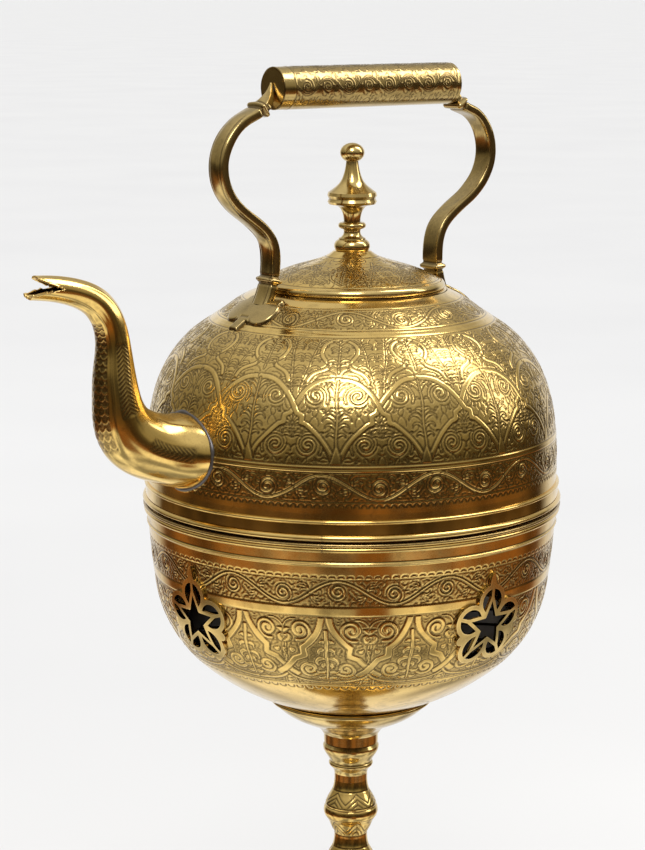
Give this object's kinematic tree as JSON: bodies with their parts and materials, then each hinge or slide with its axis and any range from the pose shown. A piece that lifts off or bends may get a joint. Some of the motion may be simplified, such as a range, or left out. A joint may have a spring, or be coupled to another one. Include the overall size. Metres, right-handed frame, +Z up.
{
  "type": "kettle on charcoal brazier stand",
  "caption": "Engraved brass kettle with beaked spout, fixed bail handle and lid, standing on a charcoal brazier bowl with a turned column and weighted round foot.",
  "frame": {"origin": "centre of the foot's flat underside, on the column's axis, at floor level", "axes": "+Z up the column; the spout points along -X; the handle lies in the XZ plane"},
  "size_m": [0.4802, 0.3506, 1.0002],
  "materials": {
    "sheet_brass": "spun and engraved sheet brass, worn polish with tarnish in the engraving",
    "cast_brass": "turned and filed cast brass, polished on the high places",
    "cast_iron": "sand-cast iron, sooty",
    "steel": "plain steel rod, nuts and washers"
  },
  "bodies": {
    "stand": {"foot_ballast": "cast_iron", "foot_rim": "cast_brass", "foot_dome": "sheet_brass", "foot_socket": "cast_brass", "baluster_1": "cast_brass", "baluster_2": "cast_brass", "baluster_3": "cast_brass", "baluster_4": "cast_brass", "baluster_5": "cast_brass", "column_cup": "cast_brass", "bowl_saucer": "cast_brass", "tie_rod": "steel", "tie_rod_washer": "steel", "tie_rod_nut": "steel", "brazier_bowl": "sheet_brass", "brazier_rim": "cast_brass", "vent_star_1": "cast_brass", "vent_star_2": "cast_brass", "vent_star_3": "cast_brass", "vent_star_4": "cast_brass", "grate_brackets": "cast_brass"},
    "grate": {"fire_grate": "cast_iron"},
    "kettle": {"kettle_body": "sheet_brass", "belt_band": "sheet_brass", "belt_bead": "cast_brass", "kettle_base": "sheet_brass", "neck_ring": "cast_brass", "spout": "cast_brass", "spout_strainer": "cast_brass", "handle_strap_front": "cast_brass", "handle_strap_rear": "cast_brass", "handle_foot_front": "cast_brass", "handle_foot_rear": "cast_brass", "grip_cap_front": "cast_brass", "grip_cap_rear": "cast_brass", "handle_grip": "sheet_brass", "grip_rod": "steel"},
    "lid": {"lid_rim": "cast_brass", "lid_collar": "sheet_brass", "lid_dome": "sheet_brass", "finial": "cast_brass", "finial_washer": "steel", "finial_nut": "steel"}
  },
  "joints": [
    {"name": "kettle_lift", "type": "slide", "parent": "stand", "child": "kettle", "axis": [0, 0, 1], "range_m": [0, 0.15]},
    {"name": "lid_lift", "type": "slide", "parent": "kettle", "child": "lid", "axis": [0, 0, 1], "range_m": [0, 0.025]},
    {"name": "grate_lift", "type": "slide", "parent": "stand", "child": "grate", "axis": [0, 0, 1], "range_m": [0, 0.06]}
  ]
}
